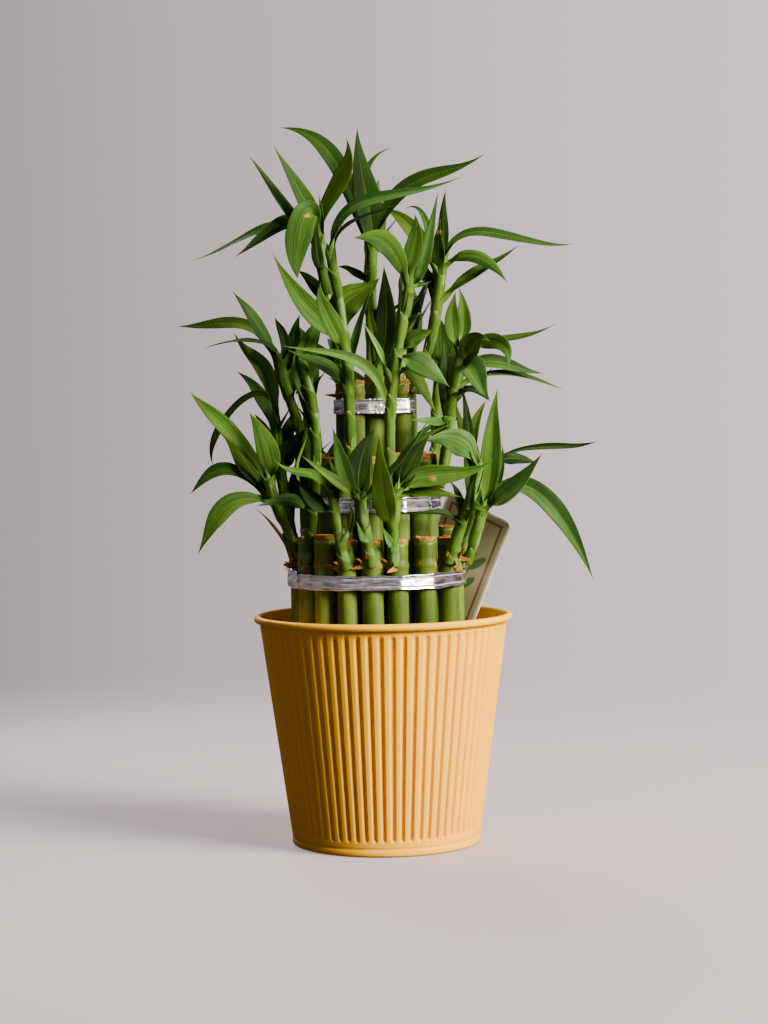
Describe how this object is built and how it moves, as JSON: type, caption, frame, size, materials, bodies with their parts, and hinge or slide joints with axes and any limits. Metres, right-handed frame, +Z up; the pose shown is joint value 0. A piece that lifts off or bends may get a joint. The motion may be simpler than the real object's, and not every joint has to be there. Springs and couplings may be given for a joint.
{
  "type": "lucky bamboo in a pot",
  "caption": "Lucky bamboo tower of tied cane tiers with leafy side shoots, standing in soil in a ribbed round metal pot with a rolled rim and a plain care card.",
  "frame": {"origin": "middle of the pot's flat underside, on the surface that it stands on", "axes": "+Z up along the pot's axis, -Y towards the front that the picture shows, +X to that view's right"},
  "size_m": [0.2425, 0.1991, 0.4147],
  "materials": {
    "pot": "matt ochre powder coat on ribbed sheet steel",
    "soil": null,
    "foil": "bright crinkled foil tape",
    "card": "sage-olive printed plastic card with a pale edge",
    "plant": null
  },
  "bodies": {
    "root": {"pot": "pot", "soil": "soil", "tie_lower": "foil", "tie_middle": "foil", "tie_upper": "foil", "care_card": "card", "cane_outer_01": "plant", "cane_outer_02": "plant", "cane_outer_03": "plant", "cane_outer_04": "plant", "cane_outer_05": "plant", "cane_outer_06": "plant", "cane_outer_07": "plant", "cane_outer_08": "plant", "cane_outer_09": "plant", "cane_outer_10": "plant", "cane_outer_11": "plant", "cane_outer_12": "plant", "cane_outer_13": "plant", "cane_outer_14": "plant", "cane_outer_15": "plant", "cane_outer_16": "plant", "cane_outer_17": "plant", "cane_middle_01": "plant", "cane_middle_02": "plant", "cane_middle_03": "plant", "cane_middle_04": "plant", "cane_middle_05": "plant", "cane_middle_06": "plant", "cane_middle_07": "plant", "cane_middle_08": "plant", "cane_middle_09": "plant", "cane_middle_10": "plant", "cane_middle_11": "plant", "cane_middle_12": "plant", "cane_inner_01": "plant", "cane_inner_02": "plant", "cane_inner_03": "plant", "cane_inner_04": "plant", "cane_inner_05": "plant", "cane_centre": "plant"}
  },
  "joints": []
}
